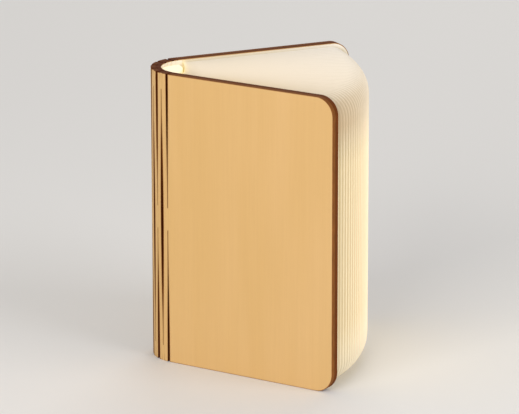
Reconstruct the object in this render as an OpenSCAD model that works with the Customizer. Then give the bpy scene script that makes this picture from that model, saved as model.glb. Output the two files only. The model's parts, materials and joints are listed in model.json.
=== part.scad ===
/* [Covers] */
// Height of the covers, which is the height of the lamp
cover_h = 122; // [100:1:160]
// Thickness of the plywood sheet that makes both covers and the spine
ply_t = 4.2; // [3.6:0.1:4.5]
// Length of each cover from its last slit to the fore edge
cover_l = 78.8; // [60:0.2:110]
// Radius of the two fore-edge corners of each cover
cover_corner_r = 7.8; // [3:0.2:12]
// Angle between each cover and the middle plane as the lamp stands
open_angle = 28.8; // [4.8:1.2:60]

/* [Living hinge] */
// Spacing of the slits across the spine
slit_pitch = 2.75; // [2.6:0.05:3.2]
// Width of each laser-cut slit
slit_w = 0.65; // [0.62:0.01:0.8]
// Height of the uncut land in the middle of a slit row
mid_land_h = 9.4; // [4:0.2:20]
// Height of each uncut land at the ends of a slit row
end_land_h = 6.6; // [3:0.2:16]
// Gap left at the twisting line of a land, which stands for the wood that twists
land_gap = 0.1; // [0.06:0.02:0.2]

/* [Pages] */
// Distance from the middle of the spine sheet to the inner folds when shut
page_inner = 11.4; // [11.2:0.1:14]
// Distance that the outer folds stay inside the fore edge when shut
page_recess = 0.96; // [0.4:0.02:3]
// Gap left under the lowest pleat, the middle one
page_foot = 0.2; // [0.1:0.1:3]
// Depth of the outermost pleats below the top edge of the covers
page_head = 1.2; // [0.4:0.1:4]
// Sag of the middle pleat, which hangs free between the two that the covers hold
page_sag = 1; // [0:0.1:2]
// Radius of the fore-edge corners of the pages
page_corner_r = 9; // [3:0.5:12]
// Thickness of the folded paper
paper_t = 0.12; // [0.08:0.01:0.14]
// Thickness of one pleat at its open inner side
pleat_t = 0.36; // [0.3:0.02:0.4]
// Thickness of the end papers glued to the covers
endpaper_t = 0.3; // [0.15:0.05:0.4]
// Margin of bare wood round the end papers
endpaper_margin = 0.4; // [0.2:0.1:2]
// Clearance between the last pleat and the end paper
pleat_clear = 0.3; // [0.2:0.05:0.4]

/* [Light bar] */
// Clearance between the light bar and the spine when the book is shut
bar_clear = 0.44; // [0.3:0.02:0.6]
// Wall thickness of the moulded channel
bar_wall = 0.6; // [0.5:0.05:0.8]
// Distance of the channel's mouth from the middle of the spine sheet
bar_mouth = 8.8; // [8.6:0.1:9]
// Distance from the mouth to the crown of the diffuser
diffuser_rise = 2.1; // [1.6:0.1:2.1]
// Wall thickness of the diffuser
diffuser_wall = 0.8; // [0.6:0.05:1]
// Distance of the bar's end caps inside the top and bottom of the covers
bar_inset = 1.4; // [1:0.1:3]
// Thickness of each end cap
cap_t = 1.2; // [0.8:0.1:2]
// Depth that each end cap plugs into the channel
cap_plug = 1.6; // [1:0.1:3]
// Fitting clearance of the bar's inner pieces
fit = 0.1; // [0.05:0.01:0.15]
// Thickness of the bonding tape behind the channel
tape_t = 0.3; // [0.2:0.05:0.4]

/* [Electronics] */
// Thickness of the LED board
board_t = 0.8; // [0.6:0.1:1]
// Distance of the board's back from the middle of the spine sheet
board_back = 7.2; // [7:0.1:7.4]
// Number of LED emitters
led_count = 14; // [6:1:20]
// Height of an emitter along the bar
led_h = 3.5; // [3:0.1:3.8]
// Width of an emitter
led_w = 2.8; // [2.4:0.1:3]
// Depth of an emitter
led_d = 0.6; // [0.4:0.05:0.8]
// Width of the lithium cell
cell_w = 6.8; // [5:0.1:7]
// Thickness of the lithium cell
cell_t = 2.6; // [2:0.1:2.7]
// Length of the lithium cell
cell_l = 60; // [40:1:64]
// Width of the charging socket's shell
socket_w = 8.94; // [8.9:0.02:9]
// Height of the charging socket's shell
socket_t = 3.26; // [3.2:0.02:3.3]
// Depth of the charging socket
socket_d = 7.35; // [7:0.05:9]

/* [Magnets] */
// Diameter of the cover magnets
magnet_d = 8; // [5:0.5:10]
// Thickness of the cover magnets
magnet_t = 2; // [1:0.1:2.4]
// Distance of the cover magnets from the fore edge and from the ends
magnet_edge = 10; // [8:0.5:20]
// Diameter of the small magnet that works the switch
trigger_d = 4; // [3:0.5:6]
// Height of the switch and its magnet above the bottom edge
trigger_z = 30; // [24:1:34]

/* [Hidden] */
$fn = 64;
eps = 0.01;
side_slits = 6;
slit_pleats = 2;
side_pleats = slit_pleats * side_slits;
right_angle = 90;
sides = ["front", "back"];

// Round spine when the book is shut: each slit bends by an equal share of a right angle.
// Each slit turns back by slit_turn as the book opens to its stand.
shut_bend = right_angle / side_slits;
slit_turn = open_angle / side_slits;
shut_r = slit_pitch / (2 * tan(shut_bend / 2));
inner_r = shut_r - ply_t / 2;
cover_start = shut_r - slit_pitch / 2;
fore_edge_x = cover_start + cover_l;

page_outer = fore_edge_x - page_recess;
page_z0 = page_foot + page_sag;
page_z1 = cover_h - page_head;
pleat_step = (inner_r - endpaper_t - pleat_clear - pleat_t / 2) / side_pleats;

bar_r = inner_r - bar_clear;
bar_ri = bar_r - bar_wall;
bar_z0 = bar_inset;
bar_z1 = cover_h - bar_inset;
channel_z0 = bar_z0 + cap_t;
channel_z1 = bar_z1 - cap_t;
mouth_y = chord(bar_r, bar_mouth);
dome_r = (mouth_y * mouth_y + diffuser_rise * diffuser_rise) / (2 * diffuser_rise);
dome_x = bar_mouth + diffuser_rise - dome_r;
tape_w = slit_pitch - slit_w - 0.3;
foot_x = ply_t / 2 + tape_t;

ledge_w = 0.9;
ledge_t = 0.7;
board_front = board_back + board_t;
board_w = 2 * (chord(bar_ri, board_back) - fit);
board_z0 = channel_z0 + cap_plug + fit;
board_z1 = channel_z1 - cap_plug - fit;
socket_x = board_back - 0.6;
socket_z0 = bar_z0;
socket_wall = 0.3;
notch_z1 = socket_z0 + socket_d + fit;
cell_front = board_back - 0.2;
cell_z1 = board_z1 - 6;
tab_h = 2;
cell_z0 = cell_z1 - cell_l;
parts_z0 = notch_z1 + 4;
led_z0 = notch_z1 + 3;
led_step = (board_z1 - 3 - led_z0) / (led_count - 1);
hall_y = board_w / 2 - 2.6;
lead_d = 0.8;
pocket_clear = 0.05;
pocket_extra = 0.2;
trigger_t = 2;
trigger_x = 8;

wood = "burlywood";
paper = "ivory";
plastic = "whitesmoke";

function slat_names(side) = [for (j = [1:side_slits - 1]) str(side, "_slat_", j)];
function page_names(side) = [for (k = [1:side_pleats]) str(side, "_page_", k)];

// Half width of a circle about the shut spine's centre, at distance x from the spine sheet.
function chord(r, x) = sqrt(r * r - (x - shut_r) * (x - shut_r));

// Directions and joints of the chain of slats, which bends from the middle slat to a cover.
function link_angle(j, angle) = right_angle - j * (right_angle - angle) / side_slits;
function link_step(j, angle) = slit_pitch * [cos(link_angle(j, angle)), sin(link_angle(j, angle))];
function joint_at(j, angle) =
    j == 1 ? [0, slit_pitch / 2] : joint_at(j - 1, angle) + link_step(j - 1, angle);

// The front half is the mirror image of the back half.
module on_side(side) {
    mirror([0, side == "front" ? 1 : 0, 0]) children();
}

// Local frame of a slat or cover: x runs away from the middle slat, y points outwards.
module on_slat(side, j) {
    on_side(side)
        translate(joint_at(j, open_angle))
            rotate(link_angle(j, open_angle))
                children();
}

module turn_about(point, angle) {
    translate(point) rotate(angle) translate(-point) children();
}

// Carries what turns with slat j from its place in the shut book to its place in the open one.
module with_slat(j) {
    if (j == 0) {
        children();
    } else {
        translate(joint_at(j, open_angle)) rotate(j * slit_turn) translate(-joint_at(j, 0)) children();
    }
}

// Slit rows alternate across the whole spine, counted from the front cover.
function slit_row(side, j) = side == "front" ? side_slits - j : side_slits + j - 1;
function has_mid_land(side, j) = slit_row(side, j) % 2 == 0;

// One half of the land beside a slit: a double bevel that comes to an edge on the twisting line.
module land_half(z0, z1) {
    translate([0, 0, z0])
        linear_extrude(z1 - z0)
            polygon([[slit_w / 2 + eps, -ply_t / 2], [land_gap / 2, 0], [slit_w / 2 + eps, ply_t / 2]]);
}

module lands(mid) {
    if (mid) {
        land_half((cover_h - mid_land_h) / 2, (cover_h + mid_land_h) / 2);
    } else {
        land_half(0, end_land_h);
        land_half(cover_h - end_land_h, cover_h);
    }
}

module slat_blank(length) {
    translate([slit_w / 2, -ply_t / 2, 0]) cube([length - slit_w, ply_t, cover_h]);
}

module middle_slat() {
    color(wood)
        rotate(right_angle)
            translate([-slit_pitch / 2, 0, 0]) {
                slat_blank(slit_pitch);
                lands(has_mid_land("front", 1));
                translate([slit_pitch, 0, 0]) mirror([1, 0, 0]) lands(has_mid_land("back", 1));
            }
}

module slat(side, j) {
    color(wood)
        on_slat(side, j) {
            slat_blank(slit_pitch);
            lands(has_mid_land(side, j));
            translate([slit_pitch, 0, 0]) mirror([1, 0, 0]) lands(has_mid_land(side, j + 1));
        }
}

// Flat outline with its two fore-edge corners rounded, x along the cover and y up.
module leaf_outline(x0, x1, z0, z1, r) {
    translate([x0, z0]) square([x1 - x0 - r, z1 - z0]);
    translate([x0, z0 + r]) square([x1 - x0, z1 - z0 - 2 * r]);
    for (z = [z0 + r, z1 - r]) translate([x1 - r, z]) circle(r);
}

// Stands a flat outline upright, as a sheet from y0 to y1.
module upright(y0, y1) {
    translate([0, y1, 0]) rotate([right_angle, 0, 0]) linear_extrude(y1 - y0) children();
}

// Blind round pocket in the inner face of a cover, with its magnet's axis across the sheet.
module across(x, z, y0, d, t) {
    translate([x, y0, z]) rotate([-right_angle, 0, 0]) cylinder(d = d, h = t);
}

module at_cover_magnets() {
    for (z = [magnet_edge, cover_h - magnet_edge]) translate([cover_l - magnet_edge, 0, z]) children();
}

module cover(side) {
    color(wood)
        on_slat(side, side_slits) {
            difference() {
                upright(-ply_t / 2, ply_t / 2)
                    leaf_outline(slit_w / 2, cover_l, 0, cover_h, cover_corner_r);
                at_cover_magnets()
                    across(0, 0, -ply_t / 2 - eps,
                        magnet_d + 2 * pocket_clear, magnet_t + pocket_extra + eps);
                if (side == "front")
                    across(trigger_x, trigger_z, -ply_t / 2 - eps,
                        trigger_d + 2 * pocket_clear, trigger_t + pocket_extra + eps);
            }
            lands(has_mid_land(side, side_slits));
        }
}

module cover_magnets(side) {
    color("silver")
        on_slat(side, side_slits)
            at_cover_magnets() across(0, 0, pocket_extra - ply_t / 2, magnet_d, magnet_t);
}

module trigger_magnet() {
    color("silver")
        on_slat("front", side_slits)
            across(trigger_x, trigger_z, pocket_extra - ply_t / 2, trigger_d, trigger_t);
}

module endpaper(side) {
    color(paper)
        on_slat(side, side_slits)
            upright(-ply_t / 2 - endpaper_t, -ply_t / 2)
                leaf_outline(
                    page_inner - cover_start, cover_l - endpaper_margin,
                    endpaper_margin, cover_h - endpaper_margin, cover_corner_r - endpaper_margin
                );
}

// One pleat seen from above: two plies that meet in the outer fold and part towards the spine.
module pleat_section() {
    fold_x = page_outer - 4 * paper_t;
    difference() {
        polygon([
            [page_inner, -pleat_t / 2], [page_outer - paper_t, -paper_t], [page_outer, -paper_t / 2],
            [page_outer, paper_t / 2], [page_outer - paper_t, paper_t], [page_inner, pleat_t / 2]
        ]);
        polygon([
            [page_inner - eps, paper_t - pleat_t / 2], [fold_x, 0],
            [page_inner - eps, pleat_t / 2 - paper_t]
        ]);
    }
}

module pleat() {
    intersection() {
        translate([0, 0, page_z0]) linear_extrude(page_z1 - page_z0) pleat_section();
        upright(-pleat_t, pleat_t)
            leaf_outline(page_inner - eps, page_outer, page_z0 - eps, page_z1 + eps, page_corner_r);
    }
}

module hung_pleat(k) {
    drop = page_sag * (1 - pow(k / side_pleats, 2));
    translate([0, 0, -drop]) pleat();
}

module middle_page() {
    color(paper) hung_pleat(0);
}

// Every second pleat turns with a slat, and each one between turns half as far as its slit.
module page(side, k) {
    j = floor(k / slit_pleats);
    share = k / slit_pleats - j;
    color(paper)
        on_side(side)
            with_slat(j)
                turn_about(joint_at(j + 1, 0), share * slit_turn)
                    translate([0, k * pleat_step, 0]) hung_pleat(k);
}

// The part of a disc about the shut spine's centre that lies behind the channel's mouth.
module bar_disc(r, x_max) {
    intersection() {
        translate([shut_r, 0]) circle(r);
        translate([x_max - 4 * r, -2 * r]) square([4 * r, 4 * r]);
    }
}

// Segment of the diffuser's dome in front of the mouth.
module dome_disc(r, x_min) {
    intersection() {
        translate([dome_x, 0]) circle(r);
        translate([x_min, -2 * r]) square([4 * r, 4 * r]);
    }
}

module bar_outline() {
    bar_disc(bar_r, bar_mouth);
    dome_disc(dome_r, bar_mouth - eps);
}

module bonding_tape() {
    color("gray")
        translate([ply_t / 2, -tape_w / 2, channel_z0])
            cube([tape_t, tape_w, channel_z1 - channel_z0]);
}

// Round back with a ledge on each side for the board and a foot on the bonding tape.
module channel_section() {
    difference() {
        bar_disc(bar_r, bar_mouth);
        bar_disc(bar_ri, bar_mouth + eps);
    }
    intersection() {
        bar_disc(bar_r, bar_mouth);
        for (s = [-1, 1])
            translate([board_back - ledge_t, s * (board_w / 2 + fit) - ledge_w])
                square([ledge_t, 2 * ledge_w]);
    }
    translate([foot_x, -tape_w / 2]) square([shut_r - bar_ri - foot_x, tape_w]);
}

module light_channel() {
    color(plastic)
        translate([0, 0, channel_z0])
            linear_extrude(channel_z1 - channel_z0) channel_section();
}

// Domed lens with two legs that clip inside the mouth of the channel.
module diffuser() {
    leg_y = chord(bar_ri, bar_mouth) - fit;
    leg_x = board_front + fit;
    color("white")
        translate([0, 0, channel_z0])
            linear_extrude(channel_z1 - channel_z0) {
                difference() {
                    dome_disc(dome_r, bar_mouth);
                    dome_disc(dome_r - diffuser_wall, bar_mouth - eps);
                }
                for (s = [-1, 1])
                    intersection() {
                        bar_disc(bar_ri - fit, bar_mouth + diffuser_wall / 2);
                        translate([leg_x, s * (leg_y - diffuser_wall / 2) - diffuser_wall / 2])
                            square([bar_mouth + diffuser_wall / 2 - leg_x, diffuser_wall]);
                    }
            }
}

// Flat plate over the end of the bar with a plug that enters the back of the channel, up to plug_x.
module end_cap(plug_x) {
    linear_extrude(cap_t) bar_outline();
    translate([0, 0, cap_t - eps])
        linear_extrude(cap_plug + eps)
            difference() {
                bar_disc(bar_ri - fit, plug_x);
                bar_disc(bar_ri - fit - 2 * bar_wall, plug_x - bar_wall);
            }
}

module top_cap() {
    color(plastic) translate([0, 0, bar_z1]) mirror([0, 0, 1]) end_cap(board_back - ledge_t - fit);
}

// Slot with round ends, long along y.
module stadium(x, w, t) {
    translate([x - t / 2, -(w - t) / 2]) square([t, w - t]);
    for (s = [-1, 1]) translate([x, s * (w - t) / 2]) circle(t / 2);
}

module bottom_cap() {
    color(plastic)
        difference() {
            translate([0, 0, bar_z0]) end_cap(socket_x - socket_t / 2 - 2 * fit);
            translate([0, 0, bar_z0 - eps])
                linear_extrude(cap_t + 2 * eps)
                    stadium(socket_x, socket_w + 2 * fit, socket_t + 2 * fit);
        }
}

module charging_socket() {
    tongue_w = socket_w - 2.2;
    tongue_t = 0.7;
    tongue_recess = 0.8;
    back_t = 1.2;
    color("silver") {
        translate([0, 0, socket_z0])
            linear_extrude(socket_d)
                difference() {
                    stadium(socket_x, socket_w, socket_t);
                    stadium(socket_x, socket_w - 2 * socket_wall, socket_t - 2 * socket_wall);
                }
        translate([0, 0, socket_z0 + socket_d - back_t])
            linear_extrude(back_t) stadium(socket_x, socket_w - socket_wall, socket_t - socket_wall);
        translate([socket_x - tongue_t / 2, -tongue_w / 2, socket_z0 + tongue_recess])
            cube([tongue_t, tongue_w, socket_d - tongue_recess - back_t / 2]);
    }
}

module led_board() {
    color("white")
        difference() {
            translate([board_back, -board_w / 2, board_z0])
                cube([board_t, board_w, board_z1 - board_z0]);
            translate([board_back - eps, -socket_w / 2 - fit, board_z0 - eps])
                cube([board_t + 2 * eps, socket_w + 2 * fit, notch_z1 - board_z0 + eps]);
        }
}

module led_emitters() {
    lens_d = led_w - 0.6;
    lens_t = 0.1;
    color("gold")
        for (i = [0:led_count - 1])
            translate([board_front, 0, led_z0 + i * led_step]) {
                translate([0, -led_w / 2, -led_h / 2]) cube([led_d, led_w, led_h]);
                translate([led_d - eps, 0, 0])
                    rotate([0, right_angle, 0]) cylinder(d = lens_d, h = lens_t + eps);
            }
}

// Charger and driver chips, coil and two rows of capacitors on the back of the board.
module board_chips() {
    charger = [1, 4, 4.4];
    driver = [1, 3, 3];
    driver_z = 6;
    coil_d = 4.4;
    coil_t = 1.8;
    coil_y = 1.2;
    coil_z = 12.2;
    capacitor = [0.8, 0.8, 1.6];
    row_y = 3.2;
    row_z = 1;
    row_step = 2.6;
    color("dimgray")
        translate([board_back, 0, parts_z0]) {
            translate([-charger.x, -charger.y / 2, 0]) cube(charger);
            translate([-driver.x, -driver.y / 2, driver_z]) cube(driver);
            translate([-coil_t, coil_y, coil_z])
                rotate([0, right_angle, 0]) cylinder(d = coil_d, h = coil_t);
            for (i = [0:3])
                translate([0, i % 2 == 0 ? -row_y : row_y, row_z + i * row_step])
                    translate([-capacitor.x, -capacitor.y / 2, 0]) cube(capacitor);
        }
}

// Small three-legged field switch on the back of the board, towards the front cover.
module hall_switch() {
    body = [1.1, 1.8, 3];
    leg = [0.3, 0.9, 0.4];
    root = 0.3;
    color("black")
        translate([board_back - body.x, -hall_y - body.y / 2, trigger_z - body.z / 2]) {
            cube(body);
            for (z = [root, body.z - leg.z - root])
                translate([body.x - leg.x, body.y - eps, z]) cube(leg);
            translate([body.x - leg.x, eps + root - leg.y, (body.z - leg.z) / 2])
                cube([leg.x, leg.y - root, leg.z]);
        }
}

module lithium_cell() {
    fold = 0.6;
    tab_t = 0.2;
    color("lightgray") {
        translate([cell_front - cell_t, -cell_w / 2, cell_z0]) cube([cell_t, cell_w, cell_l]);
        translate([cell_front - cell_t / 2 - tab_t / 2, -cell_w / 2 + fold, cell_z1 - eps])
            cube([tab_t, cell_w - 2 * fold, tab_h]);
    }
}

// Foam that holds the cell against the round back of the channel.
module cell_pad() {
    pad_w = 4.6;
    end_gap = 5;
    color("dimgray")
        translate([0, 0, cell_z0 + end_gap])
            linear_extrude(cell_l - 2 * end_gap)
                intersection() {
                    bar_disc(bar_ri - fit, cell_front - cell_t);
                    translate([0, -pad_w / 2]) square([2 * bar_r, pad_w]);
                }
}

// Two short insulated wires from the cell's top to the back of the board.
module cell_leads() {
    lead_x = cell_front - cell_t / 2;
    lead_y = 2;
    rise = 3;
    color("red")
        for (s = [-1, 1])
            translate([0, s * lead_y, 0]) {
                translate([lead_x, 0, cell_z1 + tab_h]) cylinder(d = lead_d, h = rise - tab_h);
                translate([lead_x, 0, cell_z1 + rise]) sphere(d = lead_d);
                translate([lead_x, 0, cell_z1 + rise])
                    rotate([0, right_angle, 0]) cylinder(d = lead_d, h = board_back - lead_x);
            }
}

middle_slat();
for (side = sides)
    for (j = [1:side_slits - 1])
        slat(side, j);
cover("front");  // front_cover
cover("back");  // back_cover
middle_page();
for (side = sides)
    for (k = [1:side_pleats])
        page(side, k);
endpaper("front");  // front_endpaper
endpaper("back");  // back_endpaper
cover_magnets("front");  // front_cover_magnets
cover_magnets("back");  // back_cover_magnets
trigger_magnet();
bonding_tape();
light_channel();
diffuser();
top_cap();
bottom_cap();
led_board();
led_emitters();
board_chips();
hall_switch();
charging_socket();
lithium_cell();
cell_pad();
cell_leads();
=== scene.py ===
import json
import math

import bmesh
import bpy
from mathutils import Matrix, Vector


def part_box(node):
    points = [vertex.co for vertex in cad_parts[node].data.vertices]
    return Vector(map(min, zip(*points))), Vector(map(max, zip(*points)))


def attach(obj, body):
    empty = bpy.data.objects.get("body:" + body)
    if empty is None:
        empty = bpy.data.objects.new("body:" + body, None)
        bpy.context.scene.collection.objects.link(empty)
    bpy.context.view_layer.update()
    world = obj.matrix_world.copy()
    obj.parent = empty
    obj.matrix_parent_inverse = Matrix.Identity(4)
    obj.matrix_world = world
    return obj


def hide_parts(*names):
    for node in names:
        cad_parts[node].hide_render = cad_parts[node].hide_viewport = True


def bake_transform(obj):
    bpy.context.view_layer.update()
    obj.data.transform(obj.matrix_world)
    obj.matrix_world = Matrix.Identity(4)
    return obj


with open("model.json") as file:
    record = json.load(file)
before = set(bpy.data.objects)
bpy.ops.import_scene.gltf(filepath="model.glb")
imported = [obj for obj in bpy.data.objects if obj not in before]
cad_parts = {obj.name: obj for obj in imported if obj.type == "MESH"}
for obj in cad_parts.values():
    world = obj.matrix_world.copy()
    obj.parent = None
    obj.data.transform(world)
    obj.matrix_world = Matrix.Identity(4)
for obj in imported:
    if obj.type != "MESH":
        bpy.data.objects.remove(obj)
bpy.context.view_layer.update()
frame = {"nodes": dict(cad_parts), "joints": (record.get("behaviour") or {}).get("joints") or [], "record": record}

mm = 0.001
sides = {"front": -1, "back": 1}  # sign of y
joints = {joint["name"]: joint for joint in frame["joints"]}
print("frame loaded:", len(frame["nodes"]), "nodes")


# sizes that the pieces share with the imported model

sheet = {
    "thick": 4.2 * mm,  # plywood
    "pitch": 2.75 * mm,  # slit to slit
    "slit": 0.65 * mm,
    "slitsPerSide": 6,
    "standAngle": 28.8,  # degrees from the middle plane to each cover
    "midLand": 9.4 * mm,
    "endLand": 6.6 * mm,
}
sheet["half"] = sheet["thick"] / 2
sheet["low"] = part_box("middle_slat")[0].z
sheet["high"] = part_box("middle_slat")[1].z
sheet["bend"] = (90 - sheet["standAngle"]) / sheet["slitsPerSide"]


def jointAt(name):
    x, y, _ = joints[name]["pos_m"]
    return Vector((x, y, 0))


def slitName(side, index):
    # slits and slats are counted from the middle slat, which is slat 0
    return f"{side}_cover_fold" if index == 1 else f"{side}_slit_{index}"


def direction(degrees, sign=1):
    a = math.radians(degrees)
    return Vector((math.cos(a), sign * math.sin(a), 0))


def localFrame(origin, along, outwards):
    # columns: x along the sheet, y outwards, z up
    m = Matrix.Identity(4)
    m.col[0][:3] = along
    m.col[1][:3] = outwards
    m.col[2][:3] = (0, 0, 1)
    m.col[3][:3] = origin
    return m


def frameAtSlit(side, index, bends):
    # on the line of a slit, turned by so many of the sheet's bends
    sign = sides[side]
    turn = 90 - bends * sheet["bend"]
    along, outwards = direction(turn, sign), direction(turn + 90, sign)
    return localFrame(jointAt(slitName(side, index)), along, outwards)


def slatFrame(side, index):
    return frameAtSlit(side, index, index)


def slitFrame(side, index):
    # x across the slit, away from the middle slat, half way between the slats beside it
    return frameAtSlit(side, index, index - 0.5)


# small mesh helpers

mergeDistance = 0.0002 * mm
aligned = 0.999  # cosine from which an edge or a face counts as square to the axes
mostly = 0.9  # and from which a face looks mostly along an axis


def addPiece(name, bm, material, smooth=False):
    bmesh.ops.remove_doubles(bm, verts=bm.verts, dist=mergeDistance)
    bmesh.ops.recalc_face_normals(bm, faces=bm.faces)
    mesh = bpy.data.meshes.new(name)
    bm.to_mesh(mesh)
    bm.free()
    mesh.materials.append(material)
    for face in mesh.polygons:
        face.use_smooth = smooth
    piece = bpy.data.objects.new(name, mesh)
    bpy.context.scene.collection.objects.link(piece)
    return piece


def giveThickness(piece, thick):
    solid = piece.modifiers.new("thickness", "SOLIDIFY")
    solid.thickness = thick
    solid.offset = 0


def block(size, low=(0, 0, 0)):
    # box with its lowest corner at low
    bm = bmesh.new()
    bmesh.ops.create_cube(bm, size=1)
    bmesh.ops.translate(bm, verts=bm.verts, vec=(0.5, 0.5, 0.5))
    bmesh.ops.scale(bm, verts=bm.verts, vec=size)
    bmesh.ops.translate(bm, verts=bm.verts, vec=low)
    return bm


def edgesAlong(bm, axis):
    return [e for e in bm.edges if abs((e.verts[0].co - e.verts[1].co).normalized()[axis]) > aligned]


def wideFaces(bm):
    # outer and inner face of a piece of the sheet
    bm.normal_update()
    return [f for f in bm.faces if abs(f.normal.y) > aligned]


def bevelEdges(bm, edges, width, segments=2):
    bmesh.ops.bevel(
        bm, geom=edges, offset=width, offset_type="OFFSET", segments=segments,
        profile=0.5, affect="EDGES", material=-1, clamp_overlap=True,
    )


def smoothstep(t):
    t = min(max(t, 0.0), 1.0)
    return t * t * (3 - 2 * t)


# small shader helpers and the group that all the materials share


def feed(tree, socket, value):
    # a number or a colour is set on the socket, and an output is linked to it
    if isinstance(value, (int, float, tuple)):
        socket.default_value = value
    else:
        tree.links.new(value, socket)


def mathNode(tree, operation, a, b=None, clamp=False):
    node = tree.nodes.new("ShaderNodeMath")
    node.operation = operation
    node.use_clamp = clamp
    feed(tree, node.inputs[0], a)
    if b is not None:
        feed(tree, node.inputs[1], b)
    return node.outputs[0]


def product(tree, first, *others):
    for other in others:
        first = mathNode(tree, "MULTIPLY", first, other)
    return first


def oneMinus(tree, value):
    return mathNode(tree, "SUBTRACT", 1.0, value)


def mixColour(tree, factor, a, b):
    node = tree.nodes.new("ShaderNodeMix")
    node.data_type = "RGBA"  # its colours are inputs 6 and 7 and output 2
    feed(tree, node.inputs[0], factor)
    feed(tree, node.inputs[6], a)
    feed(tree, node.inputs[7], b)
    return node.outputs[2]


def rampNode(tree, factor, stops):
    node = tree.nodes.new("ShaderNodeValToRGB")
    ramp = node.color_ramp
    while len(ramp.elements) < len(stops):
        ramp.elements.new(0.5)
    for element, (position, colour) in zip(ramp.elements, stops):
        element.position = position
        element.color = colour
    tree.links.new(factor, node.inputs[0])
    return node.outputs[0]


def greyRamp(tree, factor, stops):
    return rampNode(tree, factor, [(position, (grey, grey, grey, 1)) for position, grey in stops])


def makeStretchedNoise():
    # noise drawn out along one axis, as grain or paper fibre
    group = bpy.data.node_groups.new("stretchedNoise", "ShaderNodeTree")
    for label, kind, value in (
        ("Vector", "NodeSocketVector", (0, 0, 0)), ("Stretch", "NodeSocketVector", (1, 1, 1)),
        ("Scale", "NodeSocketFloat", 100.0), ("Detail", "NodeSocketFloat", 3.0),
        ("Low", "NodeSocketFloat", 0.3), ("High", "NodeSocketFloat", 0.7),
    ):
        group.interface.new_socket(name=label, in_out="INPUT", socket_type=kind).default_value = value
    group.interface.new_socket(name="Mask", in_out="OUTPUT", socket_type="NodeSocketFloat")
    given, result = group.nodes.new("NodeGroupInput"), group.nodes.new("NodeGroupOutput")
    scale = group.nodes.new("ShaderNodeVectorMath")
    scale.operation = "MULTIPLY"
    noise = group.nodes.new("ShaderNodeTexNoise")
    span = group.nodes.new("ShaderNodeMapRange")
    group.links.new(given.outputs["Vector"], scale.inputs[0])
    group.links.new(given.outputs["Stretch"], scale.inputs[1])
    group.links.new(scale.outputs[0], noise.inputs["Vector"])
    group.links.new(given.outputs["Scale"], noise.inputs["Scale"])
    group.links.new(given.outputs["Detail"], noise.inputs["Detail"])
    group.links.new(noise.outputs["Fac"], span.inputs["Value"])
    group.links.new(given.outputs["Low"], span.inputs["From Min"])
    group.links.new(given.outputs["High"], span.inputs["From Max"])
    group.links.new(span.outputs[0], result.inputs["Mask"])
    return group


stretchedNoise = makeStretchedNoise()


def noiseMask(tree, vector, stretch, scale, detail, low, high):
    node = tree.nodes.new("ShaderNodeGroup")
    node.node_tree = stretchedNoise
    tree.links.new(vector, node.inputs["Vector"])
    node.inputs["Stretch"].default_value = stretch
    node.inputs["Scale"].default_value = scale
    node.inputs["Detail"].default_value = detail
    node.inputs["Low"].default_value = low
    node.inputs["High"].default_value = high
    return node.outputs["Mask"]


def newMaterial(name, roughness=0.5):
    material = bpy.data.materials.new(name)
    material.use_nodes = True
    tree = material.node_tree
    shader = tree.nodes["Principled BSDF"]
    shader.inputs["Roughness"].default_value = roughness
    return material, tree, shader


def objectCoords(tree):
    return tree.nodes.new("ShaderNodeTexCoord").outputs["Object"]


def attributeValue(tree, name):
    node = tree.nodes.new("ShaderNodeAttribute")
    node.attribute_name = name
    return node.outputs["Fac"]


def uvParts(tree, name):
    # across and up a UV map
    source = tree.nodes.new("ShaderNodeUVMap")
    source.uv_map = name
    split = tree.nodes.new("ShaderNodeSeparateXYZ")
    tree.links.new(source.outputs[0], split.inputs[0])
    return split.outputs[0], split.outputs[1]


def bumpFrom(tree, shader, height, strength, distance):
    bump = tree.nodes.new("ShaderNodeBump")
    bump.inputs["Strength"].default_value = strength
    bump.inputs["Distance"].default_value = distance
    tree.links.new(height, bump.inputs["Height"])
    tree.links.new(bump.outputs[0], shader.inputs["Normal"])


# plywood

char = 1.0  # burn of a cut edge, from 0 for clean veneer
sootAndShade = 2.0  # burn of the walls of a slit: real soot, darkened past char as painted shade in the slit's depth

woodLook = {
    "pale": (0.613, 0.391, 0.170, 1),
    "warm": (0.583, 0.367, 0.147, 1),
    "pore": (0.50, 0.305, 0.118, 1),
    "charOuter": (0.25, 0.086, 0.017, 1),  # cut edge near the outer face
    "charInner": (0.16, 0.038, 0.003, 1),  # cut edge near the inner face
    "charLine": (0.07, 0.026, 0.006, 1),  # glue line between the plies
    "kerf": (0.072, 0.012, 0.0, 1),  # sooty walls of the slits, near black as painted shade in their depth
    "glueLine": (0.44, 0.49, 0.54),  # where it starts, is darkest and ends, from the inner face
    "figure": {"stretch": (1, 1, 0.12), "scale": 60, "detail": 2, "low": 0.35, "high": 0.65},
    "grain": {"stretch": (1, 1, 0.02), "scale": 1400, "detail": 4, "low": 0.38, "high": 0.62},
    "pores": {"stretch": (1, 1, 0.05), "scale": 3800, "detail": 2, "low": 0.60, "high": 0.72},
    "streaks": {"stretch": (1, 1, 0.25), "scale": 900, "detail": 3, "low": 0.35, "high": 0.75},
    "grainShare": 0.11,
    "poreShare": 0.10,
    "streakShare": 0.45,
    "charFade": 1.6,  # power by which a weak burn fades
    "roughness": 0.5,
    "charRoughness": 0.25,  # what the char adds to it
    "specular": 0.1,
    "bump": 0.12,
    "bumpHeight": 0.06 * mm,
}


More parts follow.
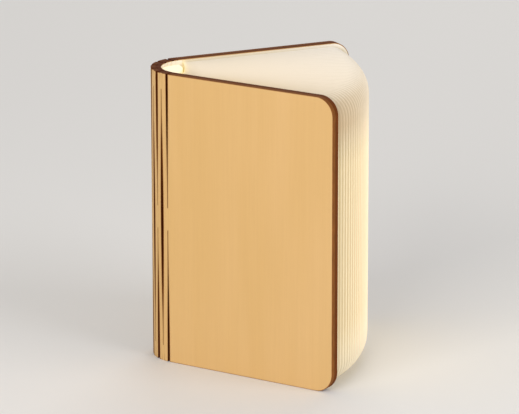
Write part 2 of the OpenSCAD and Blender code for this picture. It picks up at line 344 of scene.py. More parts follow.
def makeWood():
    look = woodLook
    material, tree, shader = newMaterial("mapleSheet")
    coords = objectCoords(tree)
    figure = noiseMask(tree, coords, **look["figure"])
    grain = noiseMask(tree, coords, **look["grain"])
    pores = noiseMask(tree, coords, **look["pores"])
    streaks = noiseMask(tree, coords, **look["streaks"])
    face = mixColour(tree, figure, look["pale"], look["warm"])
    face = mixColour(tree, product(tree, grain, look["grainShare"]), face, look["pore"])
    face = mixColour(tree, product(tree, pores, look["poreShare"]), face, look["pore"])
    lineStart, line, lineEnd = look["glueLine"]
    edge = rampNode(tree, attributeValue(tree, "plyDepth"), [
        (0.0, look["charInner"]), (lineStart, look["charInner"]), (line, look["charLine"]),
        (lineEnd, look["charOuter"]), (1.0, look["charOuter"]),
    ])
    edge = mixColour(tree, product(tree, streaks, look["streakShare"]), edge, look["charLine"])
    burn = mathNode(tree, "MAXIMUM", attributeValue(tree, "scorch"), attributeValue(tree, "cut"))
    # past char the burn turns to the kerf colour: soot, and painted shade inside the slits
    edge = mixColour(tree, mathNode(tree, "SUBTRACT", burn, char, True), edge, look["kerf"])
    mask = mathNode(tree, "MINIMUM", burn, char)
    colour = mixColour(tree, mathNode(tree, "POWER", mask, look["charFade"]), face, edge)
    tree.links.new(colour, shader.inputs["Base Color"])
    rough = mathNode(tree, "ADD", product(tree, mask, look["charRoughness"]), look["roughness"])
    tree.links.new(rough, shader.inputs["Roughness"])
    shader.inputs["Specular IOR Level"].default_value = look["specular"]
    bumpFrom(tree, shader, grain, look["bump"], look["bumpHeight"])
    return material


wood = makeWood()
hinge = {
    "levels": 28,  # stations up a slat
    "bevel": 0.09 * mm,
    "halo": 0.32 * mm,  # scorched rim of the veneer
    "sootShadeHalo": 0.42 * mm,  # the same beside the widest part of a slit, where it darkens with the opening as painted shade
    "rings": (0.15 * mm, 0.24 * mm),  # loops that carry the halo across a slat
    "bow": 0.15 * mm,  # the long edges of a slat draw back where the slit is widest
    "endBurn": 1.55,  # of the cut ends at head and foot
    "skin": 0.98,  # share of half the sheet from which a point lies at its face
}


def hasMidLand(side, index):
    # rows of slits alternate right across the spine
    row = sheet["slitsPerSide"] - index if side == "front" else sheet["slitsPerSide"] + index - 1
    return row % 2 == 0


def openness(slit, z):
    # 0 beside a land of the slit, 1 where the slit is widest
    half = (sheet["high"] - sheet["low"]) / 2
    off = abs(z - sheet["low"] - half)
    if hasMidLand(*slit):
        start = sheet["midLand"] / 2
        return smoothstep((off - start) / (half - start))
    return smoothstep((half - sheet["endLand"] - off) / (half - sheet["endLand"]))


def besideCover(slit):
    return slit[1] == sheet["slitsPerSide"]


def drawBack(slit):
    return 0.0 if besideCover(slit) else hinge["bow"]


def slitBurnAndShade(slit):
    # burn at a slit's mouth: real char beside the cover, soot and painted shade elsewhere
    return char if besideCover(slit) else sootAndShade


def fadeIn(distance, width):
    return max(1 - distance / width, 0.0)


def endHalo(z):
    # scorch of the veneer beside the cut ends at head and foot
    return fadeIn(min(z - sheet["low"], sheet["high"] - z), hinge["halo"])


def woodLayers(bm):
    # what the wood's colour reads: burn of the faces, burn of the points, level in the sheet
    return (
        bm.faces.layers.float.new("cut"),
        bm.verts.layers.float.new("scorch"),
        bm.verts.layers.float.new("plyDepth"),
    )


def plyLevel(y):
    # 0 at the inner face, 1 at the outer one
    return (y + sheet["half"]) / sheet["thick"]


def slatSolid(left, right):
    # a slat between two slits, each given by its side and number; x across it, y outwards
    low, high = sheet["low"], sheet["high"]
    x0, x1 = sheet["slit"] / 2, sheet["pitch"] - sheet["slit"] / 2
    bm = block((x1 - x0, sheet["thick"], high - low), (x0, -sheet["half"], low))
    bmesh.ops.subdivide_edges(bm, edges=edgesAlong(bm, 2), cuts=hinge["levels"] - 1)
    bevelEdges(bm, edgesAlong(bm, 2), hinge["bevel"])
    wide = wideFaces(bm)
    for width in hinge["rings"]:
        bmesh.ops.inset_region(bm, faces=wide, thickness=width, use_boundary=True, use_even_offset=True)
    bm.normal_update()
    cut, scorch, depth = woodLayers(bm)
    for f in bm.faces:
        if abs(f.normal.x) > mostly:
            f[cut] = sootAndShade
        elif abs(f.normal.z) > mostly:
            f[cut] = hinge["endBurn"]
    for v in bm.verts:
        x, y, z = v.co
        openLeft, openRight = openness(left, z), openness(right, z)
        # scorch beside a slit: real char along the cut, rising to painted shade where the slit opens widest
        v[scorch] = max(
            slitBurnAndShade(left) * openLeft * fadeIn(x - x0, hinge["sootShadeHalo"]),
            slitBurnAndShade(right) * openRight * fadeIn(x1 - x, hinge["sootShadeHalo"]),
            endHalo(z),
        )
        v[depth] = plyLevel(y)
        v.co.x += drawBack(left) * openLeft if x < (x0 + x1) / 2 else -drawBack(right) * openRight
    return bm


def makeSlats():
    middle = slatSolid(("front", 1), ("back", 1))
    corner = Vector((0, -sheet["pitch"] / 2, 0))
    middle.transform(localFrame(corner, Vector((0, 1, 0)), Vector((-1, 0, 0))))
    piece = addPiece("middleSlat", middle, wood)
    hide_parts("middle_slat")
    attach(piece, "root")
    for side in sides:
        for index in range(1, sheet["slitsPerSide"]):
            bm = slatSolid((side, index), (side, index + 1))
            bm.transform(slatFrame(side, index))
            piece = addPiece(f"{side}Slat{index}", bm, wood)
            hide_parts(f"{side}_slat_{index}")
            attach(piece, f"{side}_slat_{index}")


cover = {
    "length": 78.8 * mm,
    "corner": 7.8 * mm,
    "cornerSegments": 20,
    "headShade": 0.3,  # what the rim at the head has more than char: painted shade, darker where it faces up
}


def outlineSheet(x0, x1, z0, z1, corner, segments):
    # flat sheet in the xz plane with its two fore-edge corners rounded
    bm = bmesh.new()
    corners = [bm.verts.new(p) for p in ((x0, 0, z0), (x1, 0, z0), (x1, 0, z1), (x0, 0, z1))]
    bm.faces.new(corners)
    bmesh.ops.bevel(
        bm, geom=corners[1:3], offset=corner, offset_type="OFFSET", segments=segments,
        profile=0.5, affect="VERTICES", material=-1,
    )
    return bm


def thicken(bm, y0, y1):
    bmesh.ops.translate(bm, verts=bm.verts, vec=(0, y0, 0))
    grown = bmesh.ops.extrude_face_region(bm, geom=list(bm.faces), use_keep_orig=True)
    verts = [g for g in grown["geom"] if isinstance(g, bmesh.types.BMVert)]
    bmesh.ops.translate(bm, verts=verts, vec=(0, y1 - y0, 0))
    bmesh.ops.recalc_face_normals(bm, faces=bm.faces)


def markCover(bm, slit):
    cut, scorch, depth = woodLayers(bm)
    wide = wideFaces(bm)
    bmesh.ops.inset_individual(bm, faces=wide, thickness=hinge["halo"], use_even_offset=True)
    bm.normal_update()
    for f in bm.faces:
        if f.normal.x < -aligned:
            f[cut] = sootAndShade
        elif abs(f.normal.y) < mostly:
            # rims: char, with painted shade added where they face up
            f[cut] = char + cover["headShade"] * max(f.normal.z, 0.0)
    clean = {v for f in wide for v in f.verts}
    for v in bm.verts:
        x, y, z = v.co
        v[depth] = plyLevel(y)
        if v in clean:
            continue
        # at the slit the scorch rises with the opening: partly real char, partly painted shade
        atSlit = x < sheet["slit"] and abs(y) > sheet["half"] * hinge["skin"]
        v[scorch] = max(openness(slit, z), endHalo(z)) if atSlit else char


def makeCovers():
    for side in sides:
        bm = outlineSheet(
            sheet["slit"] / 2, cover["length"], sheet["low"], sheet["high"],
            cover["corner"], cover["cornerSegments"],
        )
        slitEdge = [e for e in bm.edges if max(v.co.x for v in e.verts) < sheet["slit"]]
        bmesh.ops.subdivide_edges(bm, edges=slitEdge, cuts=hinge["levels"] - 1)
        thicken(bm, -sheet["half"], sheet["half"])
        through = set(edgesAlong(bm, 1))
        bevelEdges(bm, [e for e in bm.edges if e not in through], hinge["bevel"])
        markCover(bm, (side, sheet["slitsPerSide"]))
        bm.transform(slatFrame(side, sheet["slitsPerSide"]))
        piece = addPiece(f"{side}Cover", bm, wood)
        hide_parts(f"{side}_cover")
        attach(piece, f"{side}_cover")


# lands of the living hinge, with the long tapers where the wood twists

land = {
    "tight": 0.22,  # share of the slit's mouth left open beside a land
    "wide": 0.985,  # and at its widest
    "runOut": 1.05,  # a taper is through a little before its run ends
    "stations": 14,
    "bite": 0.01 * mm,  # how far lands and tapers reach into the slats
    "root": 0.9 * mm,  # depth of the root, a dark web of painted shade that closes the slit inside
    "rootLevel": 0.25 * mm,  # from the inner face to the root
    "rootBite": 0.005 * mm,  # how far the root reaches into the slats
    "rootShare": 0.2,  # inner faces centred within this share of the slit are dark with painted shade
    "lipBurn": 0.7,  # scorch of the narrow slit beside a land
}


def halfGap(y):
    # half the space between two slats, in the slit's frame
    half = math.radians(sheet["bend"] / 2)
    return sheet["slit"] / 2 / math.cos(half) + y * math.tan(half)


def faceLevel(y, back=0.0):
    # level of a slat's outer or inner face at its cut edge, in the slit's frame
    half = math.radians(sheet["bend"] / 2)
    face = math.copysign(sheet["half"], y)
    return face * math.cos(half) - (sheet["slit"] / 2 + back) * math.sin(half)


def openShare(reach):
    return land["tight"] + (land["wide"] - land["tight"]) * smoothstep(reach * land["runOut"])


def landBlock(z0, z1):
    # fills the slit from slat to slat; its block is 2 wide and 1 deep at first
    bm = block((2, 1, z1 - z0), (-1, -0.5, z0))
    for v in bm.verts:
        y = faceLevel(v.co.y)
        v.co = Vector((v.co.x * (halfGap(y) + land["bite"]), y, v.co.z))
    return bm


def tongue(hand, bow, z0, z1):
    # tapered edge of one slat, which runs out from the land at z0 to z1
    # in its block at first x is 0 in the slit and 1 on the slat, and z is 0 at the land
    bm = block((1, 1, 1), (0, -0.5, 0))
    bmesh.ops.subdivide_edges(bm, edges=edgesAlong(bm, 2), cuts=land["stations"])
    for v in bm.verts:
        back = bow * smoothstep(v.co.z)
        y = faceLevel(v.co.y, back)
        edge = halfGap(y) + back
        x = edge * openShare(v.co.z) if v.co.x < 0.5 else edge + land["bite"]
        v.co = Vector((hand * x, y, z0 + (z1 - z0) * v.co.z))
    return bm


def slitShadeWeb(bow, z0, z1):
    # thin dark web of painted shade at the inner face, so that no light leaks through the slit
    bm = block((2, 1, z1 - z0), (-1, 0, z0))
    for v in bm.verts:
        y = land["rootLevel"] - sheet["half"] + v.co.y * land["root"]
        v.co = Vector((v.co.x * (halfGap(y) + bow + land["rootBite"]), y, v.co.z))
    return bm


def joinInto(target, bm):
    spare = bpy.data.meshes.new("spare")
    bm.to_mesh(spare)
    bm.free()
    target.from_mesh(spare)
    bpy.data.meshes.remove(spare)


def markLand(bm, slit):
    cut, scorch, depth = woodLayers(bm)
    for v in bm.verts:
        x, y, z = v.co
        opened = openness(slit, z)
        onSlat = abs(x) > halfGap(y) + drawBack(slit) * opened
        v[scorch] = char
        if abs(y) > sheet["half"] * hinge["skin"]:
            # at the faces the burn grows as the slit opens: real soot along the cut, painted shade where it is
            # widest
            v[scorch] = slitBurnAndShade(slit) * opened + (0.0 if onSlat else land["lipBurn"] * (1 - opened))
        v[depth] = plyLevel(y)
    bm.normal_update()
    for f in bm.faces:
        x, y, z = f.calc_center_median()
        share = abs(x) / (halfGap(y) + drawBack(slit) * openness(slit, z))
        if abs(f.normal.z) > mostly:
            f[cut] = hinge["endBurn"]
        elif abs(f.normal.x) > mostly and share < 1:
            taper = (share - land["tight"]) / (land["wide"] - land["tight"])
            f[cut] = char + (sootAndShade - char) * smoothstep(2 * taper)  # sooty, and dark with painted shade, from half way on
        elif share < land["rootShare"] and y < 0:
            f[cut] = sootAndShade


def landsAndRuns(slit):
    # heights between which the slit is closed, and from which a taper runs to where it is widest
    low, high = sheet["low"], sheet["high"]
    middle = (low + high) / 2
    if hasMidLand(*slit):
        foot, head = middle - sheet["midLand"] / 2, middle + sheet["midLand"] / 2
        return [(foot, head)], [(head, high), (foot, low)]
    foot, head = low + sheet["endLand"], high - sheet["endLand"]
    return [(low, foot), (head, high)], [(foot, middle), (head, middle)]


def blendOverSlit(piece, side, index):
    # the frame of the slit is worked out but not used; the piece's placement is baked into its mesh
    place = slitFrame(side, index)
    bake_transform(piece)


def makeLands():
    for side in sides:
        for index in range(1, sheet["slitsPerSide"] + 1):
            slit = (side, index)
            lands, runs = landsAndRuns(slit)
            bm = bmesh.new()
            for z0, z1 in lands:
                joinInto(bm, landBlock(z0, z1))
            for z0, z1 in runs:
                joinInto(bm, slitShadeWeb(drawBack(slit), min(z0, z1), max(z0, z1)))
                for hand in (-1, 1):
                    joinInto(bm, tongue(hand, drawBack(slit), z0, z1))
            markLand(bm, slit)
            bm.transform(slitFrame(*slit))
            piece = addPiece(f"{side}Land{index}", bm, wood)
            blendOverSlit(piece, side, index)


makeSlats()
makeCovers()
makeLands()
print("plywood sheet made")


# pages

pages = {
    "perSlit": 3,  # outer folds that share the turn of one slit
    "inner": 11.4 * mm,  # inner folds when shut
    "recess": 0.96 * mm,  # outer folds inside the fore edge when shut
    "foot": 0.2 * mm,  # gap under the lowest pleat, the middle one
    "head": 1.2 * mm,
    "sag": 1.0 * mm,  # of the middle pleat
    "corner": 9.0 * mm,
    "sheet": 0.11 * mm,  # paper
    "clear": 0.3 * mm,  # from the last pleat to the end paper when shut
    "endpaper": 0.3 * mm,
    "pleat": 0.36 * mm,  # thickness of a shut pleat
    "cornerStations": 8,
    "alongStations": 8,
    "upStations": 6,
}
shutRadius = sheet["pitch"] / (2 * math.tan(math.radians(90 / sheet["slitsPerSide"] / 2)))
lastSlit = shutRadius - sheet["pitch"] / 2  # from the spine to the slit beside a cover when shut
pages["outer"] = lastSlit + cover["length"] - pages["recess"]
pages["step"] = (
    shutRadius - sheet["half"] - pages["endpaper"] - pages["clear"] - pages["pleat"] / 2
) / sheet["slitsPerSide"]  # room for the pleats of one slit when shut
pages["low"] = sheet["low"] + pages["foot"] + pages["sag"]
pages["high"] = sheet["high"] - pages["head"]
pages["middle"] = (pages["low"] + pages["high"]) / 2
pages["turn"] = sheet["standAngle"] / sheet["slitsPerSide"]
pages["length"] = pages["outer"] - pages["inner"]
pages["height"] = pages["high"] - pages["low"]

paperLook = {
    "tint": (0.82, 0.725, 0.61, 1),
    "fibreTint": (0.72, 0.64, 0.52, 1),
    "coverShadeTint": (0.71, 0.645, 0.53, 1),  # painted shade beside the covers
    "shadowTint": (0.66, 0.575, 0.42, 1),  # a little way in from the cut edges and folds
    "headLightTint": (0.80, 0.755, 0.70, 1),  # painted light from above on the cut edges at the head, towards the back cover
    "barLightTint": (0.90, 0.64, 0.30, 1),  # painted warm light of the light bar on the same edges beside the front cover, towards the bar
    "shoulderShadeTint": (0.47, 0.29, 0.13, 1),  # painted shade under the rounded upper corners
    "edgeGlow": (1.0, 0.84, 0.46, 1),  # at the outer folds
    "midGlow": (1.0, 0.78, 0.20, 1),  # near the spine
    "glowStrength": 0.10,
    "evenGlow": 0.35,  # over the whole of a leaf
    "middleGlow": 0.5,  # more light half way between the covers
    "coverGlow": 2.4,  # more light at the outer folds, beside the covers
    "foreGlow": 0.6,  # and a little more half way between them
    "barGlow": 3.0,  # more light at the inner folds, beside the light bar
    "shadowLoss": 0.3,  # share of the light that the shadow takes
    "fibre": {"stretch": (1, 1, 0.35), "scale": 2600, "detail": 4, "low": 0.35, "high": 0.7},
    "fibreShare": 0.12,
    "roughness": 0.75,
    "bump": 0.15,
    "bumpHeight": 0.04 * mm,
    # how fast an effect falls off, as a power
    "coverPower": 0.5,
    "headPower": 2.0,
    "barLightPower": 5.0,
    "foldPower": 5.0,
    "shoulderPower": 8.0,
    "barPower": 70.0,
    # strengths from the edge of a leaf inwards, up to shadowDepth, as place and value
    "shadow": ((0.0, 0.0), (0.015, 0.0), (0.07, 1.0), (0.3, 0.4), (0.9, 0.0)),
    "shadowDepth": 10,  # mm
    # and from foot to head
    # where the painted shade under the rounded upper corners lies
    "shoulder": ((0.81, 0.0), (0.90, 1.0), (0.975, 0.9), (1.0, 0.1)),
    # where the painted light on the head edges starts
    "head": ((0.97, 0.0), (1.0, 1.0)),
    "body": ((0.0, 0.6), (0.12, 1.0), (0.75, 1.0), (0.9, 0.4), (1.0, 0.1)),  # light at the outer folds
    "shoulderShare": 0.66,  # painted shade under the shoulders at the front cover
    "shoulderDrop": 1.15,  # how fast that falls towards the back cover
}


def leafDepth(tree, along, rise):
    # distance in mm from the edge of a leaf with rounded corners
    length, height, corner = (pages[key] / mm for key in ("length", "height", "corner"))
    x = mathNode(tree, "SUBTRACT", product(tree, along, length), length - corner)
    z = mathNode(tree, "SUBTRACT", product(tree, rise, height), height / 2)
    z = mathNode(tree, "SUBTRACT", mathNode(tree, "ABSOLUTE", z), height / 2 - corner)
    inside = mathNode(tree, "MINIMUM", mathNode(tree, "MAXIMUM", x, z), 0.0)
    x2, z2 = (mathNode(tree, "POWER", mathNode(tree, "MAXIMUM", off, 0.0), 2.0) for off in (x, z))
    outside = mathNode(tree, "SQRT", mathNode(tree, "ADD", x2, z2))
    return mathNode(tree, "SUBTRACT", corner, mathNode(tree, "ADD", inside, outside))


def paperTint(tree, fibre, shadow, middle, across, reach, rise):
    look = paperLook
    # painted shade beside the covers, fading towards the middle
    middle = mathNode(tree, "POWER", middle, look["coverPower"])
    tint = mixColour(tree, middle, look["coverShadeTint"], look["tint"])
    tint = mixColour(tree, product(tree, fibre, look["fibreShare"]), tint, look["fibreTint"])
    tint = mixColour(tree, shadow, tint, look["shadowTint"])
    # the head edges, where the painted light falls
    head = greyRamp(tree, rise, look["head"])
    # painted warm light of the bar on the head edges beside the front cover, towards the spine
    nearFront = mathNode(tree, "POWER", oneMinus(tree, across), look["barLightPower"])
    warm = product(tree, head, oneMinus(tree, reach), nearFront)
    tint = mixColour(tree, warm, tint, look["barLightTint"])
    # painted light from above on the head edges, towards the outer folds and the back cover
    outwards = mathNode(tree, "POWER", reach, look["headPower"])
    tint = mixColour(tree, product(tree, head, outwards, across), tint, look["headLightTint"])
    # painted shade under the rounded upper corners, strongest at the front cover
    share = product(tree, across, look["shoulderDrop"])
    share = mathNode(tree, "SUBTRACT", look["shoulderShare"], share, True)
    atFold = mathNode(tree, "POWER", reach, look["shoulderPower"])
    under = product(tree, greyRamp(tree, rise, look["shoulder"]), atFold, share)
    return mixColour(tree, under, tint, look["shoulderShadeTint"])


def paperGlow(tree, shadow, middle, reach, rise):
    look = paperLook
    level = mathNode(tree, "ADD", product(tree, middle, look["middleGlow"]), look["evenGlow"])
    atBar = mathNode(tree, "POWER", oneMinus(tree, reach), look["barPower"])
    level = mathNode(tree, "ADD", level, product(tree, atBar, look["barGlow"]))
    fore = mathNode(tree, "ADD", product(tree, middle, look["foreGlow"]), look["coverGlow"])
    atFold = mathNode(tree, "POWER", reach, look["foldPower"])
    fore = product(tree, fore, atFold, greyRamp(tree, rise, look["body"]))
    level = mathNode(tree, "ADD", level, fore)
    level = product(tree, level, oneMinus(tree, product(tree, shadow, look["shadowLoss"])))
    scaled = tree.nodes.new("ShaderNodeVectorMath")
    scaled.operation = "SCALE"
    tree.links.new(mixColour(tree, reach, look["midGlow"], look["edgeGlow"]), scaled.inputs[0])
    tree.links.new(level, scaled.inputs["Scale"])
    return scaled.outputs[0]


def makePaper():
    material, tree, shader = newMaterial("pleatPaper", paperLook["roughness"])
    fibre = noiseMask(tree, objectCoords(tree), **paperLook["fibre"])
    across, reach = uvParts(tree, "fan")  # front to back cover, and inner to outer folds
    along, rise = uvParts(tree, "leaf")  # inner to outer edge, and foot to head
    middle = product(tree, across, oneMinus(tree, across), 4.0)  # 1 half way between the covers
    depth = mathNode(tree, "MULTIPLY", leafDepth(tree, along, rise), 1 / paperLook["shadowDepth"], True)
    shadow = greyRamp(tree, depth, paperLook["shadow"])
    tint = paperTint(tree, fibre, shadow, middle, across, reach, rise)
    tree.links.new(tint, shader.inputs["Base Color"])
    tree.links.new(paperGlow(tree, shadow, middle, reach, rise), shader.inputs["Emission Color"])
    shader.inputs["Emission Strength"].default_value = paperLook["glowStrength"]
    bumpFrom(tree, shader, fibre, paperLook["bump"], paperLook["bumpHeight"])
    return material


paper = makePaper()


def mapPaper(bm, place):
    # lays a mesh on the paper's two maps; place gives the spot of a point on each
    fan = bm.loops.layers.uv.new("fan")
    leaf = bm.loops.layers.uv.new("leaf")
    for face in bm.faces:
        for loop in face.loops:
            loop[fan].uv, loop[leaf].uv = place(loop.vert)


def shutJoint(index):
    # slit of the back side when the book is shut
    spot = Vector((0, sheet["pitch"] / 2, 0))
    for k in range(1, index):
        spot += sheet["pitch"] * direction(90 - k * 90 / sheet["slitsPerSide"])
    return spot


def turnFrom(pivot, place, degrees):
    # turns a point about pivot and carries pivot to place
    turn = Matrix.Rotation(math.radians(degrees), 4, "Z")
    return Matrix.Translation(place) @ turn @ Matrix.Translation(-pivot)


def withSlat(index):
    # from the shut book to the standing one, back side
    if index == 0:
        return Matrix.Identity(4)
    return turnFrom(shutJoint(index), jointAt(slitName("back", index)), index * pages["turn"])


def inverseSmooth(w):
    # argument at which smoothstep gives w
    return 0.5 - math.sin(math.asin(1 - 2 * w) / 3)


def fanPoint(index, share, level, x, z):
    # a point that takes a share of the turn of slit index
    # x, z and level are its place when shut, with level 0 at the slit and 1 at the next one
    place = (index - 1 + level) / sheet["slitsPerSide"]  # 0 at the middle, 1 at the cover
    drop = pages["sag"] * (1 - place * place)
    shut = Vector((x, (index - 1 + level) * pages["step"], z - drop))
    pivot = jointAt(slitName("back", index))
    return turnFrom(pivot, pivot, share * pages["turn"]) @ withSlat(index - 1) @ shut


def leafStation(column):
    # place of a column of points along the leaf, and what the round corners take off there
    cornerStart = pages["outer"] - pages["corner"]
    past = column - pages["alongStations"]
    if past <= 0:
        return pages["inner"] + (cornerStart - pages["inner"]) * column / pages["alongStations"], 0.0
    a = math.radians(90 * past / pages["cornerStations"])
    return cornerStart + pages["corner"] * math.sin(a), pages["corner"] * (1 - math.cos(a))


def blendPanel(piece, side, index, innerShare, outerShare):
    # start and end, which would give each fold its own share of the slit's turn, are worked out but not used; the
    # piece's placement is baked into its mesh
    tInner, tOuter = inverseSmooth(innerShare), inverseSmooth(outerShare)
    a = fanPoint(index, innerShare, innerShare, pages["inner"], pages["middle"])
    b = fanPoint(index, outerShare, outerShare, pages["outer"], pages["middle"])
    a.z = b.z = pages["middle"]
    slope = (b - a) / (tOuter - tInner)
    start = a - slope * tInner
    end = start + slope
    start.y, end.y = sides[side] * start.y, sides[side] * end.y
    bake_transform(piece)


def makePanel(side, index, innerShare, outerShare, name):
    # one panel from an inner fold to an outer fold, as a grid with rounded fore-edge corners
    bm = bmesh.new()
    columns = pages["alongStations"] + pages["cornerStations"]
    bmesh.ops.create_grid(bm, x_segments=columns, y_segments=pages["upStations"], size=0.5)
    reachLayer = bm.verts.layers.float.new("reach")
    riseLayer = bm.verts.layers.float.new("rise")
    tInner, tOuter = inverseSmooth(innerShare), inverseSmooth(outerShare)

    def levelAt(reach):
        # from 0 at the slit to 1 at the next one
        return innerShare + (outerShare - innerShare) * reach

    def place(v):
        reach = v[reachLayer]
        across = 0.5 + sides[side] * (index - 1 + levelAt(reach)) / sheet["slitsPerSide"] / 2
        return (across, reach), (reach, v[riseLayer])

    for v in bm.verts:
        x, cut = leafStation(round((v.co.x + 0.5) * columns))
        z0, z1 = pages["low"] + cut, pages["high"] - cut
        z = z0 + (z1 - z0) * (v.co.y + 0.5)
        reach = (x - pages["inner"]) / pages["length"]
        share = smoothstep(tInner + (tOuter - tInner) * reach)
        v.co = fanPoint(index, share, levelAt(reach), x, z)
        v[reachLayer] = reach
        v[riseLayer] = (z - pages["low"]) / pages["height"]
    mapPaper(bm, place)
    if side == "front":
        bmesh.ops.scale(bm, verts=bm.verts, vec=(1, -1, 1))
    piece = addPiece(name, bm, paper, smooth=True)
    giveThickness(piece, pages["sheet"])
    blendPanel(piece, side, index, innerShare, outerShare)
    return piece


def makePages():
    folds = pages["perSlit"]
    for side in sides:
        for index in range(1, sheet["slitsPerSide"] + 1):
            replaced = [f"{side}_page_{2 * index - 1}", f"{side}_page_{2 * index}"]
            if index == 1 and side == "front":
                replaced.append("middle_page")
            for fold in range(folds):
                outer = (fold + 0.5) / folds
                for half, inner in enumerate((fold / folds, (fold + 1) / folds)):
                    name = f"{side}Pleat{index}_{2 * fold + half + 1}"
                    piece = makePanel(side, index, inner, outer, name)
                    if replaced:
                        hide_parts(replaced.pop())


endpaper = {
    "margin": 0.4 * mm,  # bare wood round it
    "start": pages["inner"] - lastSlit,  # from the slit beside the cover
}


def makeEndpapers():
    start, margin = endpaper["start"], endpaper["margin"]
    end = cover["length"] - margin
    for side, sign in sides.items():
        bm = outlineSheet(
            start, end, sheet["low"] + margin, sheet["high"] - margin,
            cover["corner"] - margin, cover["cornerSegments"],
        )
        thicken(bm, -sheet["half"] - pages["endpaper"], -sheet["half"])

        def place(v, across=0.5 + sign / 2):
            reach = (v.co.x - start) / (end - start)
            rise = (v.co.z - sheet["low"]) / (sheet["high"] - sheet["low"])
            return (across, reach), (reach, rise)

        mapPaper(bm, place)
        bm.transform(slatFrame(side, sheet["slitsPerSide"]))
        piece = addPiece(f"{side}Endpaper", bm, paper)
        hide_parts(f"{side}_endpaper")
        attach(piece, f"{side}_cover")


makePages()
makeEndpapers()
print("page block made")


# light bar and the pieces inside it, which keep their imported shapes

barLook = {
    "plastic": (0.90, 0.83, 0.66, 1),
    "deepPlastic": (0.85, 0.76, 0.58, 1),
    "glow": (1.0, 0.78, 0.32, 1),
    "paleGlow": (1.0, 0.84, 0.44, 1),
    "glowStrength": 0.38,
    "roughness": 0.4,
    "cloud": {"stretch": (1, 1, 0.4), "scale": 300, "detail": 2, "low": 0.3, "high": 0.7},
    "cloudShare": 0.08,
}


def makeLitPlastic():
    material, tree, shader = newMaterial("milkyPlastic", barLook["roughness"])
    cloud = noiseMask(tree, objectCoords(tree), **barLook["cloud"])
    share = product(tree, cloud, barLook["cloudShare"])
    tint = mixColour(tree, share, barLook["plastic"], barLook["deepPlastic"])
    tree.links.new(tint, shader.inputs["Base Color"])
    glow = mixColour(tree, cloud, barLook["glow"], barLook["paleGlow"])
    tree.links.new(glow, shader.inputs["Emission Color"])
    shader.inputs["Emission Strength"].default_value = barLook["glowStrength"]
    return material


plainLook = {
    "mottle": {"stretch": (1, 1, 1), "detail": 3, "low": 0.3, "high": 0.7},
    "bumpHeight": 0.03 * mm,
}


def makePlain(name, colour, second, roughness, metallic=0.0, scale=900, bump=0.1):
    material, tree, shader = newMaterial(name, roughness)
    mask = noiseMask(tree, objectCoords(tree), scale=scale, **plainLook["mottle"])
    tree.links.new(mixColour(tree, mask, (*colour, 1), (*second, 1)), shader.inputs["Base Color"])
    shader.inputs["Metallic"].default_value = metallic
    bumpFrom(tree, shader, mask, bump, plainLook["bumpHeight"])
    return material


finishes = {
    "lit_plastic": makeLitPlastic(),
    "board_white": makePlain("whiteResist", (0.86, 0.88, 0.86), (0.80, 0.82, 0.80), roughness=0.35),
    "led_phosphor": makePlain("phosphor", (0.95, 0.75, 0.25), (0.90, 0.66, 0.18), roughness=0.25),
    "chip_black": makePlain("mouldedEpoxy", (0.03, 0.03, 0.033), (0.05, 0.05, 0.055), roughness=0.6),
    "socket_steel": makePlain(
        "stampedSteel", (0.62, 0.62, 0.63), (0.52, 0.52, 0.53), roughness=0.28, metallic=1.0, scale=1600,
    ),
    "magnet_nickel": makePlain(
        "nickelPlate", (0.68, 0.67, 0.64), (0.60, 0.59, 0.56), roughness=0.18, metallic=1.0,
    ),
    "cell_foil": makePlain(
        "foilPouch", (0.66, 0.67, 0.69), (0.58, 0.59, 0.61),
        roughness=0.35, metallic=0.9, scale=500, bump=0.3,
    ),
    "foam_grey": makePlain(
        "foamTape", (0.16, 0.16, 0.17), (0.11, 0.11, 0.12), roughness=0.95, scale=2500, bump=0.6,
    ),
    "lead_red": makePlain("siliconeLead", (0.55, 0.03, 0.02), (0.46, 0.025, 0.02), roughness=0.4),
    "page_paper": paper,
    "birch_ply": wood,
}
slotOf = {part["node"]: part["material_slot"] for part in frame["record"]["subparts"]}
for nodeName, node in frame["nodes"].items():
    node.data.materials.clear()
    node.data.materials.append(finishes[slotOf[nodeName]])
print("finishes set")


# paper lining inside the spine

lining = {
    "thick": 0.16 * mm,
    "gap": 0.02 * mm,  # to the slats
    "margin": 0.35 * mm,  # at head and foot
    "columns": 8,
    "bendShare": 0.6,  # middle part of a strip that takes the bend
    "fan": (0.5, 0.02),  # its place in the paper's two maps
    "leaf": (0.5, 0.5),
}


def makeLining():
    low, high = sheet["low"] + lining["margin"], sheet["high"] - lining["margin"]
    level = -sheet["half"] - lining["thick"] / 2 - lining["gap"]
    slope = math.tan(math.radians(sheet["bend"] / 2))
    reach = sheet["pitch"] / 2
    for side in sides:
        for index in range(1, sheet["slitsPerSide"] + 1):
            bm = bmesh.new()
            bmesh.ops.create_grid(bm, x_segments=lining["columns"], y_segments=1, size=0.5)
            last = index == sheet["slitsPerSide"]  # this strip runs on to the end paper
            for v in bm.verts:
                x = v.co.x * 2 * reach
                if last and x > 0:
                    x *= endpaper["start"] / reach
                v.co = Vector((x, level - abs(x) * slope, low + (high - low) * (v.co.y + 0.5)))
            mapPaper(bm, lambda v: (lining["fan"], lining["leaf"]))
            bm.transform(slitFrame(side, index))
            piece = addPiece(f"{side}Lining{index}", bm, paper, smooth=True)
            giveThickness(piece, lining["thick"])
            blendOverSlit(piece, side, index)


makeLining()
print("lining made")


# floor, lights and camera

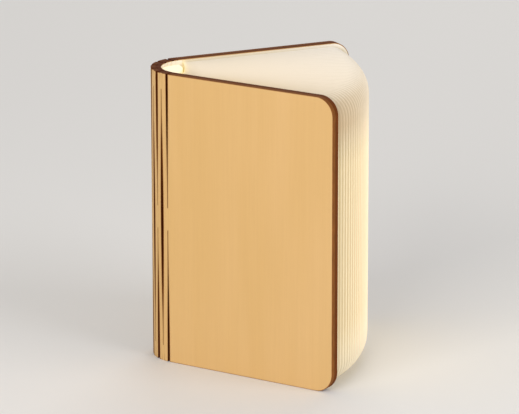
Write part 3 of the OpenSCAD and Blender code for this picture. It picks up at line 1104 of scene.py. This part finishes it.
stage = {
    "floor": (0.80, 0.79, 0.77, 1),
    "floorHalf": 6,
    "floorRoughness": 0.9,
    "sky": (0.78, 0.77, 0.77, 1),
    "skyStrength": 0.55,
    "target": (0.04, 0, 0.06),  # what the lights point at
    "lights": {
        "key": {"place": (-0.5, -1.25, 0.5), "size": 0.9, "power": 15.5, "colour": (1.0, 0.97, 0.93)},
        "fill": {"place": (1.1, -0.6, 0.6), "size": 0.9, "power": 8, "colour": (0.98, 0.98, 1.0)},
        "rim": {"place": (0.2, 1.2, 1.0), "size": 0.8, "power": 5, "colour": (1.0, 0.98, 0.95)},
    },
}


def makeFloor():
    bm = bmesh.new()
    bmesh.ops.create_grid(bm, x_segments=1, y_segments=1, size=stage["floorHalf"])
    mesh = bpy.data.meshes.new("floor")
    bm.to_mesh(mesh)
    bm.free()
    material, _, shader = newMaterial("floorPaper", stage["floorRoughness"])
    shader.inputs["Base Color"].default_value = stage["floor"]
    mesh.materials.append(material)
    floor = bpy.data.objects.new("floor", mesh)
    bpy.context.scene.collection.objects.link(floor)


def areaLight(name, place, size, power, colour):
    light = bpy.data.lights.new(name, "AREA")
    light.shape = "SQUARE"
    light.size = size
    light.energy = power
    light.color = colour
    obj = bpy.data.objects.new(name, light)
    obj.location = place
    aim = Vector(stage["target"]) - Vector(place)
    obj.rotation_euler = aim.to_track_quat("-Z", "Y").to_euler()
    bpy.context.scene.collection.objects.link(obj)


def makeLights():
    world = bpy.data.worlds.new("studio")
    world.use_nodes = True
    sky = world.node_tree.nodes["Background"]
    sky.inputs["Color"].default_value = stage["sky"]
    sky.inputs["Strength"].default_value = stage["skyStrength"]
    bpy.context.scene.world = world
    for name, settings in stage["lights"].items():
        areaLight(name, **settings)


shot = {
    "focal": 3807.59,  # pixels of the frame
    "frameWidth": 519,
    "sensor": 36,
    "clip": (0.05, 30),
    "pan": 3.8418,  # degrees
    "tilt": 15.5453,
    "roll": -0.0932,
    "target": (0.040, 0.0, 0.061),
    "offset": (-2.2504 * mm, -1.7387 * mm),  # target from the optical axis
    "distance": 1.567347,
}


def makeCamera():
    pan, tilt, roll = (math.radians(shot[key]) for key in ("pan", "tilt", "roll"))
    right = Vector((math.cos(pan), math.sin(pan), 0))
    level = Vector((-math.sin(pan), math.cos(pan), 0))
    ahead = level * math.cos(tilt) - Vector((0, 0, math.sin(tilt)))
    up = level * math.sin(tilt) + Vector((0, 0, math.cos(tilt)))
    rolledRight = right * math.cos(roll) + up * math.sin(roll)
    rolledUp = up * math.cos(roll) - right * math.sin(roll)
    x, y = shot["offset"]
    place = Vector(shot["target"]) - rolledRight * x - rolledUp * y - ahead * shot["distance"]
    data = bpy.data.cameras.new("camera")
    data.sensor_width = shot["sensor"]
    data.lens = shot["focal"] / shot["frameWidth"] * shot["sensor"]
    data.clip_start, data.clip_end = shot["clip"]
    camera = bpy.data.objects.new("camera", data)
    axes = Matrix((rolledRight, rolledUp, -ahead)).transposed().to_4x4()
    camera.matrix_world = Matrix.Translation(place) @ axes
    bpy.context.scene.collection.objects.link(camera)
    bpy.context.scene.camera = camera


makeFloor()
makeLights()
makeCamera()
bpy.context.scene.view_settings.view_transform = "Standard"
print("stage set")
